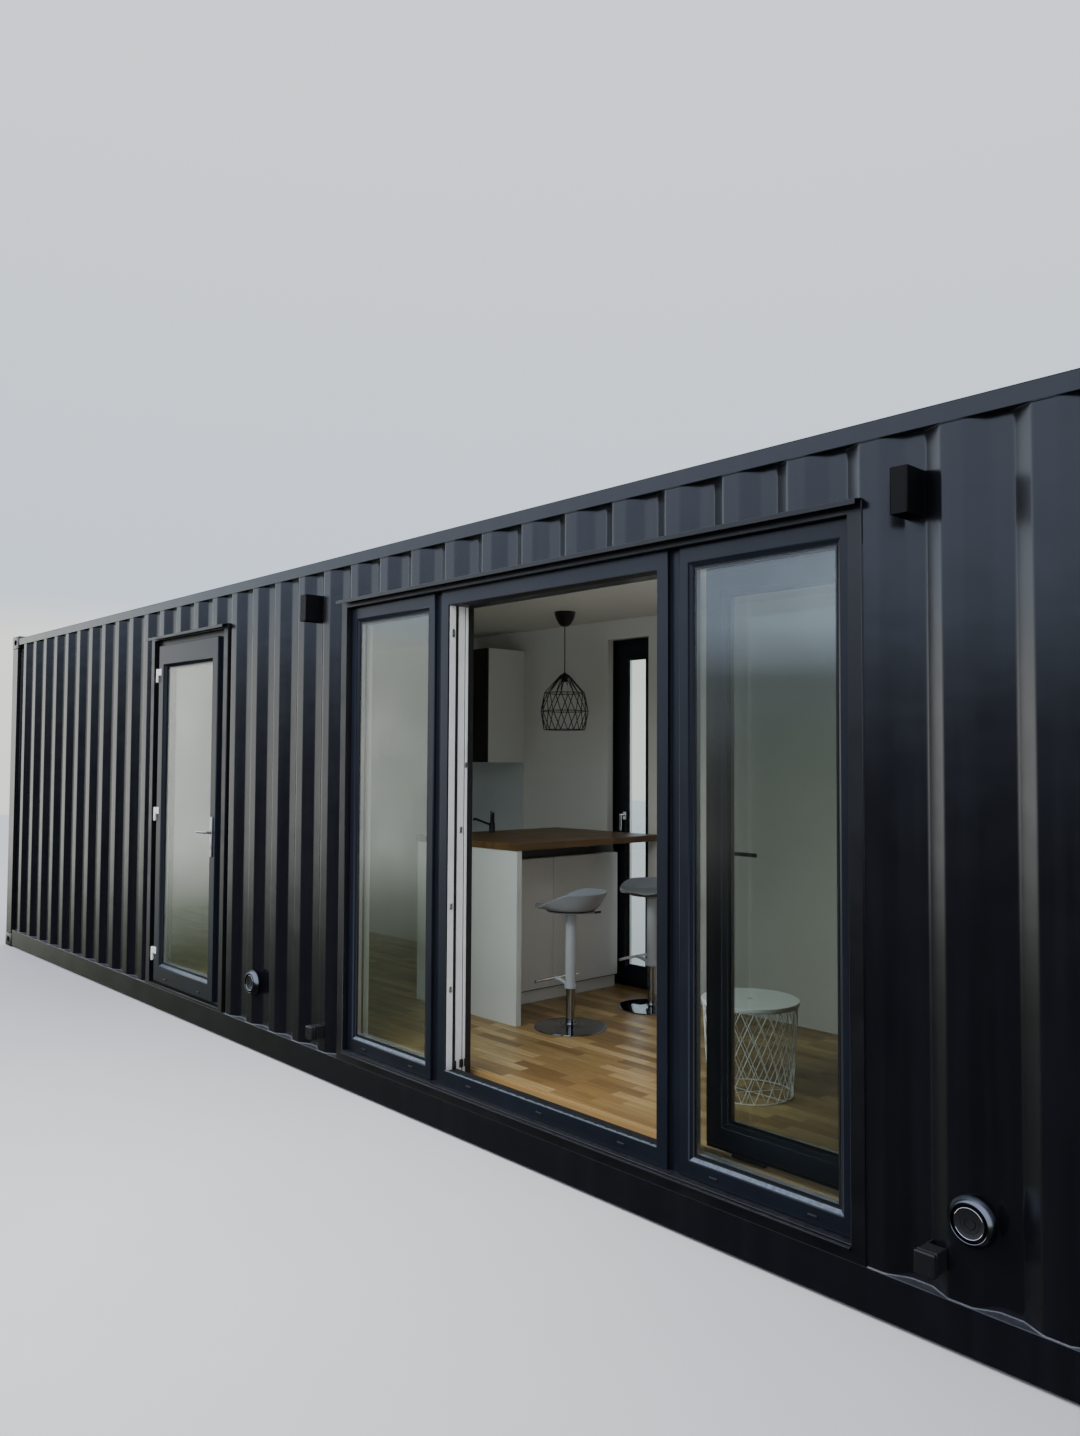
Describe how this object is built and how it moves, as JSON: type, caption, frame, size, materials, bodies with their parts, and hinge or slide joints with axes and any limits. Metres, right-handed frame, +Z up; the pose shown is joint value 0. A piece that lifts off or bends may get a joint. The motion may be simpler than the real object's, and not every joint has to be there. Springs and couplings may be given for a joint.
{
  "type": "shipping container cabin",
  "caption": "Black steel container cabin with a corrugated shell, lined room, glazed entrance door, fixed lights and a sliding glass door.",
  "frame": {"origin": "on the ground, under the middle of the whole outline", "axes": "+X runs along the long side, the glazed front faces -Y, +Z is up"},
  "size_m": [12.192, 2.551, 2.896],
  "materials": {
    "black_steel": "satin",
    "black_trim": "satin",
    "galvanised": "matt",
    "anthracite_plastic": "satin",
    "black_plastic": "satin",
    "white_hinge": "satin",
    "silver_handle": "brushed",
    "chrome": "polished",
    "pane": "clear",
    "white_board": "matt",
    "white_furniture": "satin",
    "plywood": "matt",
    "oak": "oiled",
    "foam": "matt",
    "seat_plastic": "satin",
    "white_wire": "satin",
    "rail_aluminium": "satin"
  },
  "bodies": {
    "cabin": {"corner_castings": "black_steel", "corner_posts": "black_steel", "bottom_side_rails": "black_steel", "top_side_rails": "black_steel", "end_rails": "black_steel", "cross_members": "black_steel", "roof_sheet": "black_steel", "floor_deck": "plywood", "floor_insulation": "foam", "oak_floor": "oak", "end_walls": "black_steel", "front_wall_left": "black_steel", "front_wall_middle": "black_steel", "front_wall_right": "black_steel", "front_wall_headers": "black_steel", "back_wall_left": "black_steel", "back_wall_right": "black_steel", "back_wall_header": "black_steel", "front_lining_walls": "white_board", "front_lining_headers": "white_board", "back_lining_walls": "white_board", "back_lining_header": "white_board", "end_linings": "white_board", "ceiling_lining": "white_board", "door_surround": "black_trim", "glazing_surround": "black_trim", "back_window_surround": "black_trim", "drip_ledges": "black_trim", "reveal_jambs": "white_board", "reveal_heads": "white_board", "door_frame": "anthracite_plastic", "left_light_frame": "anthracite_plastic", "right_light_frame": "anthracite_plastic", "sliding_frame": "anthracite_plastic", "frame_couplers": "anthracite_plastic", "back_window_frame": "anthracite_plastic", "back_window_handle": "chrome", "fixed_panes": "pane", "frame_hinges": "white_hinge", "slide_track": "rail_aluminium", "slide_guide": "rail_aluminium", "wall_lamps": "black_plastic", "wall_inlets": "chrome", "socket_boxes": "black_plastic", "bar_cabinet": "white_furniture", "worktop": "oak", "tap": "black_plastic", "wall_cabinet": "white_furniture", "pendant_lamp": "black_plastic", "bar_stools": "seat_plastic", "side_table": "white_wire"},
    "entrance_door": {"entrance_leaf": "anthracite_plastic", "entrance_glass": "pane", "entrance_hinges": "white_hinge", "entrance_handle": "silver_handle"},
    "sliding_door": {"sliding_leaf": "anthracite_plastic", "sliding_glass": "pane", "sliding_handle": "black_plastic", "sliding_carriages": "black_plastic"}
  },
  "joints": [
    {"name": "entrance_hinge", "type": "hinge", "parent": "cabin", "child": "entrance_door", "pos_m": [-2.706, -1.2145, 1.373], "axis": [0, 0, -1], "range_deg": [0, 100]},
    {"name": "sliding_door_travel", "type": "slide", "parent": "cabin", "child": "sliding_door", "axis": [-1, 0, 0], "range_m": [0, 1.43]}
  ]
}
